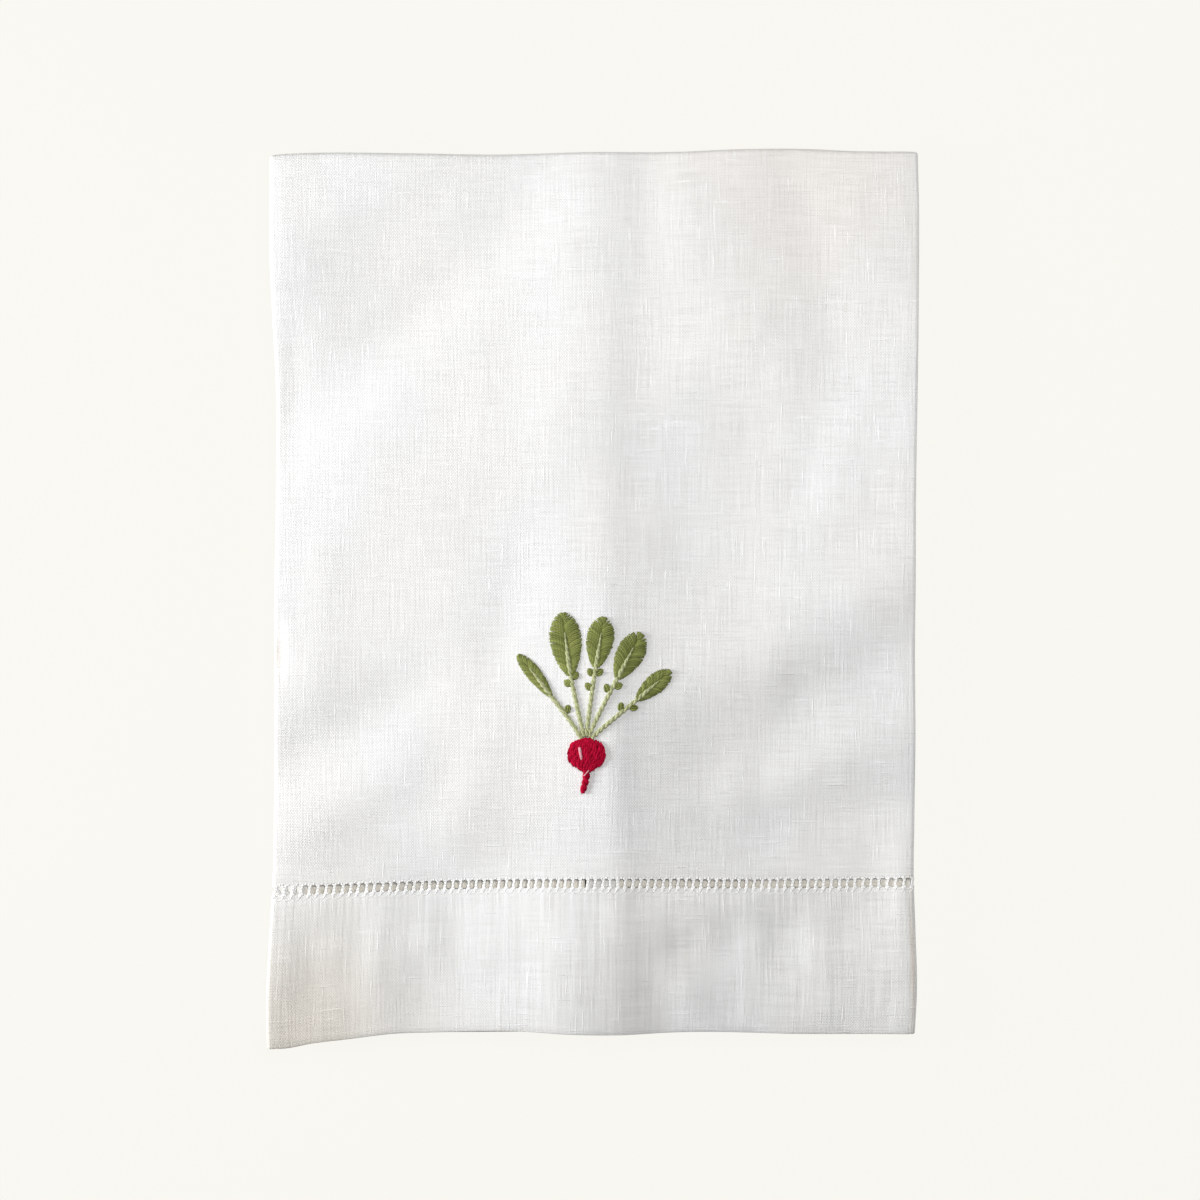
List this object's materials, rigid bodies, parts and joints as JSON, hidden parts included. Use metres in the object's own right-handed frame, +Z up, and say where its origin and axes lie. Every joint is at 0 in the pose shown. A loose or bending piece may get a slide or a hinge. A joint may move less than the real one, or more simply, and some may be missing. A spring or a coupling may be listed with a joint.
{
  "type": "hand towel",
  "caption": "Folded white linen hand towel, deep hem under a hemstitched row, an embroidered red radish with green leaves on the front.",
  "frame": {"origin": "middle of the underside, on the surface that the folded towel lies on", "axes": "+Z up, out of the towel's front; +Y along the towel, from its hem to the crosswise fold; +X to the right as seen from the front"},
  "size_m": [0.1829, 0.2528, 0.0115],
  "materials": {
    "linen": "plain-woven white linen, matt, with slubs",
    "red_thread": "stranded embroidery cotton, slight sheen",
    "green_thread": "stranded embroidery cotton, slight sheen"
  },
  "bodies": {
    "root": {"towel": "linen", "radish_bulb": "red_thread", "leaf_1": "green_thread", "leaf_2": "green_thread", "leaf_3": "green_thread", "leaf_4": "green_thread", "leaf_5": "green_thread"}
  },
  "joints": []
}
